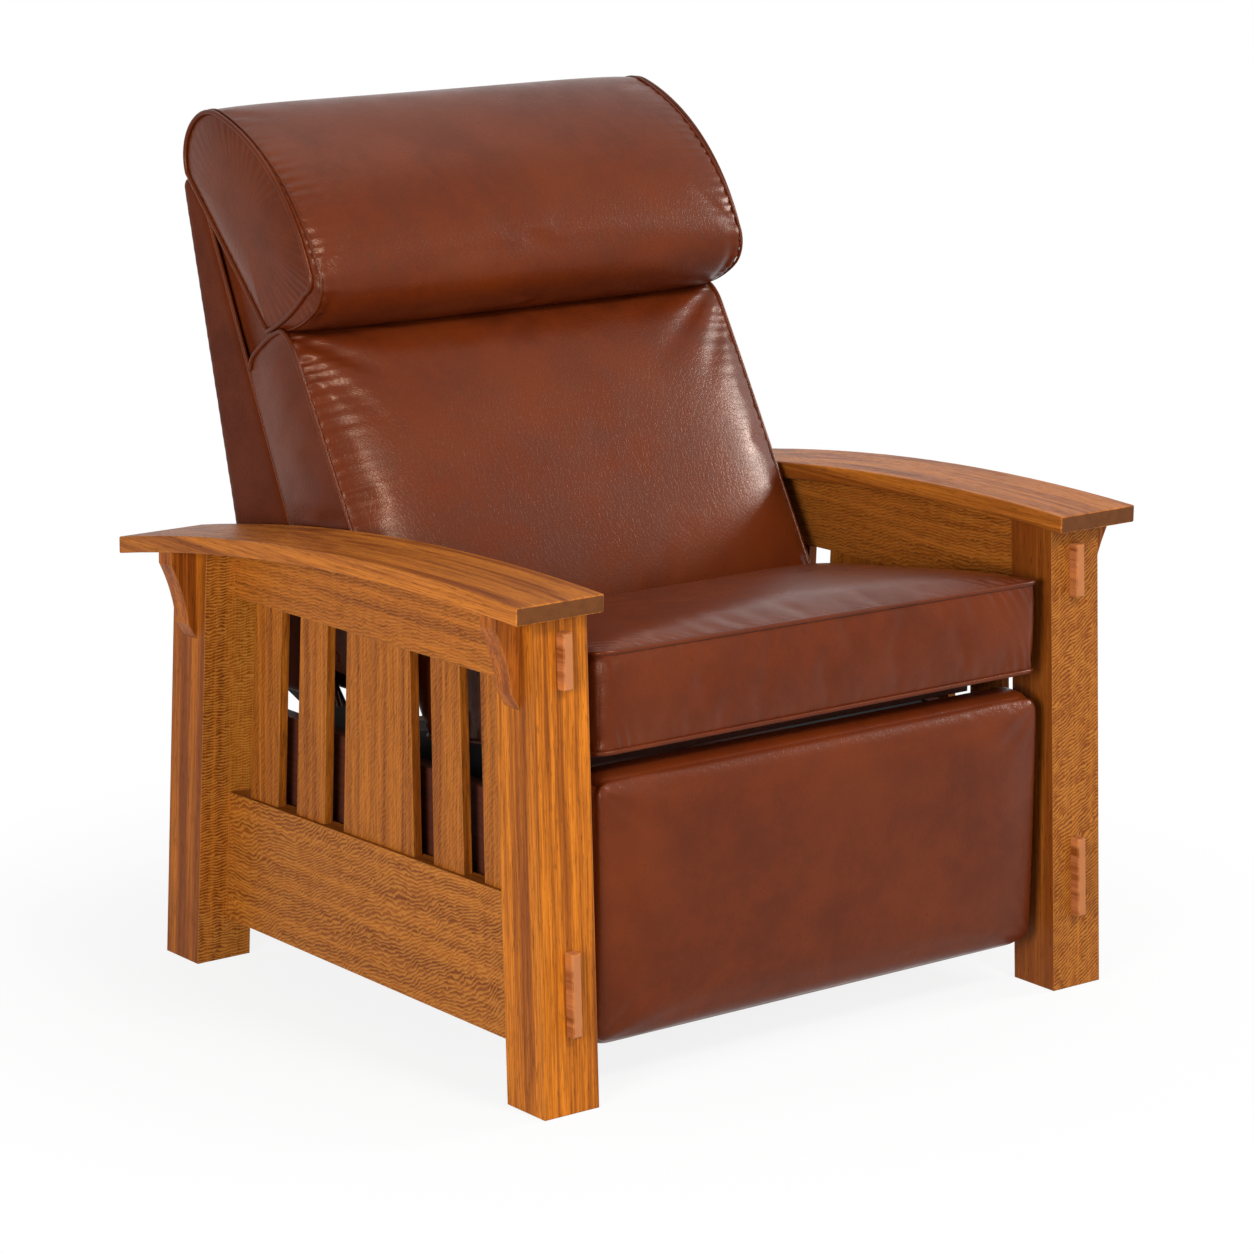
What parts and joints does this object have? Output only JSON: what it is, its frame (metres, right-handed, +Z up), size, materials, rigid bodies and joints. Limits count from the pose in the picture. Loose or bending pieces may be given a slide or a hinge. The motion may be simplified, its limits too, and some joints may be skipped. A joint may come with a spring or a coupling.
{
  "type": "reclining armchair",
  "caption": "Oak-framed reclining armchair with leather seat, lumbar cushion and head roll; the back reclines as the seat glides, and the footrest swings out.",
  "frame": {"origin": "on the floor, under the middle of the chair's bounding box", "axes": "+Z up, +Y towards the back of the chair, +X to the right as it is seen from the front"},
  "size_m": [0.939, 0.8914, 1.0499],
  "materials": {
    "oak": "satin",
    "base_wood": "satin",
    "frame_wood": "matte",
    "leather": "satin",
    "mechanism_steel": "satin",
    "spring_steel": "satin",
    "zinc_screws": "satin",
    "nylon": "matte"
  },
  "bodies": {
    "frame": {"arm_dowels": "oak", "arm_left": "oak", "arm_right": "oak", "base_board_left": "base_wood", "base_board_right": "base_wood", "base_screws": "zinc_screws", "base_strip_left": "base_wood", "base_strip_right": "base_wood", "front_corbel_left": "oak", "front_corbel_right": "oak", "front_post_left": "oak", "front_post_right": "oak", "front_stretcher": "base_wood", "glide_track_left": "mechanism_steel", "glide_track_right": "mechanism_steel", "lower_rail_left": "oak", "lower_rail_right": "oak", "pivot_pins": "mechanism_steel", "pivot_plates": "mechanism_steel", "rear_corbel_left": "oak", "rear_corbel_right": "oak", "rear_post_left": "oak", "rear_post_right": "oak", "rear_stretcher": "base_wood", "side_slats_left": "oak", "side_slats_right": "oak", "tenon_ends": "oak", "upper_rail_left": "oak", "upper_rail_right": "oak"},
    "seat": {"back_pins": "mechanism_steel", "glide_shoes": "nylon", "seat_cushion": "leather", "seat_front_rail": "frame_wood", "seat_rear_rail": "frame_wood", "seat_runner_left": "mechanism_steel", "seat_runner_right": "mechanism_steel", "seat_side_rail_left": "frame_wood", "seat_side_rail_right": "frame_wood", "seat_springs": "spring_steel"},
    "back": {"back_bracket_left": "mechanism_steel", "back_bracket_right": "mechanism_steel", "back_foot_rail": "frame_wood", "back_middle_rail": "frame_wood", "back_shell": "leather", "back_stile_left": "frame_wood", "back_stile_right": "frame_wood", "back_top_rail": "frame_wood", "head_roll": "leather", "inner_back": "leather", "lumbar_cushion": "leather"},
    "swing": {"elbow_pins": "mechanism_steel", "swing_links": "mechanism_steel", "torque_tube": "mechanism_steel"},
    "reach": {"reach_links": "mechanism_steel"},
    "guide": {"guide_links": "mechanism_steel"},
    "footrest": {"footrest_board": "frame_wood", "footrest_brackets": "mechanism_steel", "footrest_cushion": "leather", "footrest_screws": "zinc_screws", "wrist_pins": "mechanism_steel"}
  },
  "joints": [
    {"name": "seat_glide", "type": "slide", "parent": "frame", "child": "seat", "axis": [0, -1, 0], "range_m": [0, 0.04]},
    {"name": "back_recline", "type": "hinge", "parent": "seat", "child": "back", "pos_m": [0, 0.10258, 0.31], "axis": [-1, 0, 0], "range_deg": [0, 25]},
    {"name": "footrest_open", "type": "hinge", "parent": "frame", "child": "swing", "pos_m": [0, -0.29542, 0.32], "axis": [-1, 0, 0], "range_deg": [0, 90]},
    {"name": "reach_swing", "type": "hinge", "parent": "swing", "child": "reach", "pos_m": [0, -0.31629, 0.17146], "axis": [-1, 0, 0], "range_deg": [-180, 0]},
    {"name": "guide_swing", "type": "hinge", "parent": "swing", "child": "guide", "pos_m": [0, -0.2959, 0.1585], "axis": [-1, 0, 0], "range_deg": [-180, 0]},
    {"name": "footrest_turn", "type": "hinge", "parent": "reach", "child": "footrest", "pos_m": [0, -0.33717, 0.32], "axis": [-1, 0, 0], "range_deg": [0, 180]}
  ],
  "couplings": [
    {"joint": "seat_glide", "follows": "back_recline", "m_per_rad": 0.09167},
    {"joint": "reach_swing", "follows": "footrest_open", "ratio": -2},
    {"joint": "guide_swing", "follows": "footrest_open", "ratio": -2},
    {"joint": "footrest_turn", "follows": "footrest_open", "ratio": 2}
  ]
}
